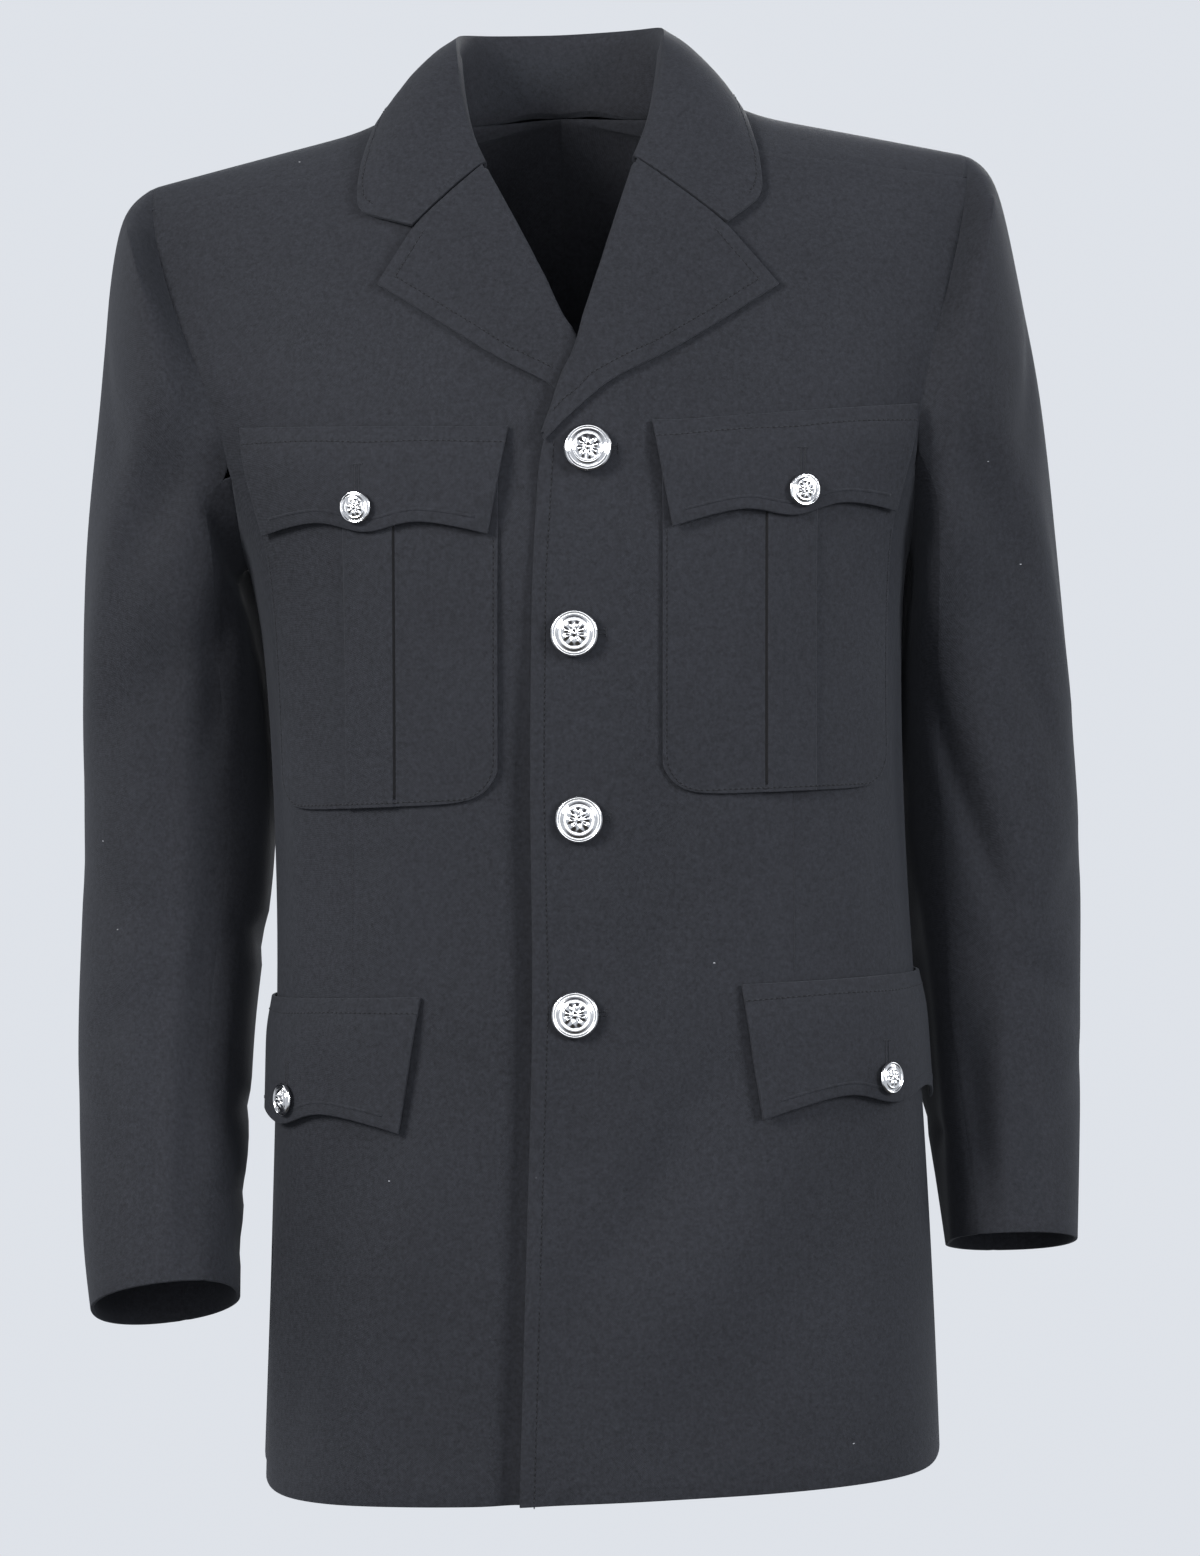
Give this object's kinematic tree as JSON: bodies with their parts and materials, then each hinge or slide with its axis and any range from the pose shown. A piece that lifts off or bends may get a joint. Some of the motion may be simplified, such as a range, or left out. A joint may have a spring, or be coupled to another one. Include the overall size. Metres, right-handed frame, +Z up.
{
  "type": "police uniform tunic",
  "caption": "Single-breasted dark uniform tunic in its worn form, hollow, with notched lapels, pleated chest pockets, pointed flaps, metal buttons and open neck, cuffs and hem.",
  "frame": {"origin": "midway between the two neck points of the shoulders, where the wearer's shoulders carry the garment", "axes": "+Z up, the garment faces -Y, its own left side is +X"},
  "size_m": [0.5756, 0.261, 0.8336],
  "materials": {
    "cloth": "matt wool twill, very dark charcoal",
    "button": "polished, with a plain rim"
  },
  "bodies": {
    "root": {"front_left": "cloth", "front_right": "cloth", "back_left": "cloth", "back_right": "cloth", "lapel_left": "cloth", "lapel_right": "cloth", "collar": "cloth", "top_sleeve_left": "cloth", "top_sleeve_right": "cloth", "under_sleeve_left": "cloth", "under_sleeve_right": "cloth", "chest_pocket_left": "cloth", "chest_pocket_right": "cloth", "chest_flap_left": "cloth", "chest_flap_right": "cloth", "skirt_flap_left": "cloth", "skirt_flap_right": "cloth", "front_button_1": "button", "front_button_2": "button", "front_button_3": "button", "front_button_4": "button", "chest_button_left": "button", "chest_button_right": "button", "skirt_button_left": "button", "skirt_button_right": "button"}
  },
  "joints": []
}
